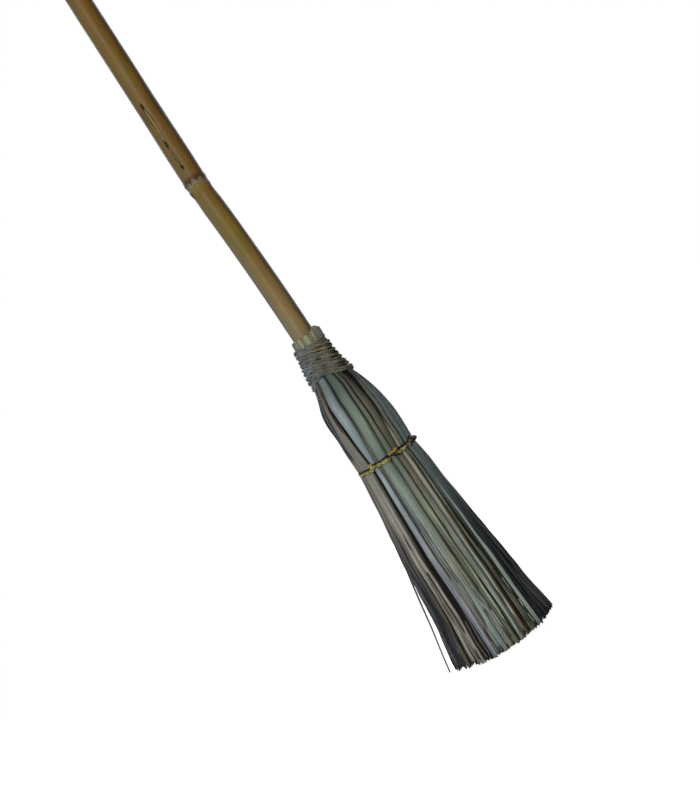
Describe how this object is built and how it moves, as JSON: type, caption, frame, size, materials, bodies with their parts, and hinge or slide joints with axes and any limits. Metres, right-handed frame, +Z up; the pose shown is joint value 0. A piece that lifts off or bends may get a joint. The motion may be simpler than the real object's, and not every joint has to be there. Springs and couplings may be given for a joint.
{
  "type": "palm broom",
  "caption": "Hand-tied palm leaf broom: a cane handle in a lashed and stitched flat head of folded leaves, split into strips for sweeping.",
  "frame": {"origin": "middle of the bottom of the whole part's box, on the floor under the leaf tips", "axes": "+Z up the handle, +X to the right across the wide flat head, -Y out of the front that the picture shows"},
  "size_m": [0.1246, 0.0616, 1.15],
  "materials": {
    "cane": "dried cane, satin, mottled brown to olive yellow",
    "twine": "twisted palm twine, rough, grey green",
    "yellow_cord": "dyed cord, yellow",
    "dark_cord": "dyed cord, dark",
    "inner_leaf": "dry palm leaf strips, matt",
    "blue_grey_leaf": "dry palm leaf, blue grey, faint ribs",
    "sage_leaf": "dry palm leaf, sage green, faint ribs",
    "tan_leaf": "dry palm leaf, grey brown, faint ribs"
  },
  "bodies": {
    "root": {"cane_handle": "cane", "bristle_bundle_1": "inner_leaf", "bristle_bundle_2": "inner_leaf", "bristle_bundle_3": "inner_leaf", "bristle_bundle_4": "inner_leaf", "bristle_bundle_5": "inner_leaf", "front_leaf_1": "tan_leaf", "front_leaf_2": "blue_grey_leaf", "front_leaf_3": "sage_leaf", "front_leaf_4": "tan_leaf", "front_leaf_5": "blue_grey_leaf", "front_leaf_6": "sage_leaf", "front_leaf_7": "tan_leaf", "front_leaf_8": "blue_grey_leaf", "front_leaf_9": "sage_leaf", "front_leaf_10": "tan_leaf", "front_leaf_11": "blue_grey_leaf", "back_leaf_1": "tan_leaf", "back_leaf_2": "blue_grey_leaf", "back_leaf_3": "sage_leaf", "back_leaf_4": "tan_leaf", "back_leaf_5": "blue_grey_leaf", "back_leaf_6": "sage_leaf", "back_leaf_7": "tan_leaf", "back_leaf_8": "blue_grey_leaf", "side_leaf_left": "blue_grey_leaf", "side_leaf_right": "blue_grey_leaf", "inner_tie": "twine", "lashing_twine": "twine", "stitch_strand_yellow": "yellow_cord", "stitch_strand_dark": "dark_cord"}
  },
  "joints": []
}
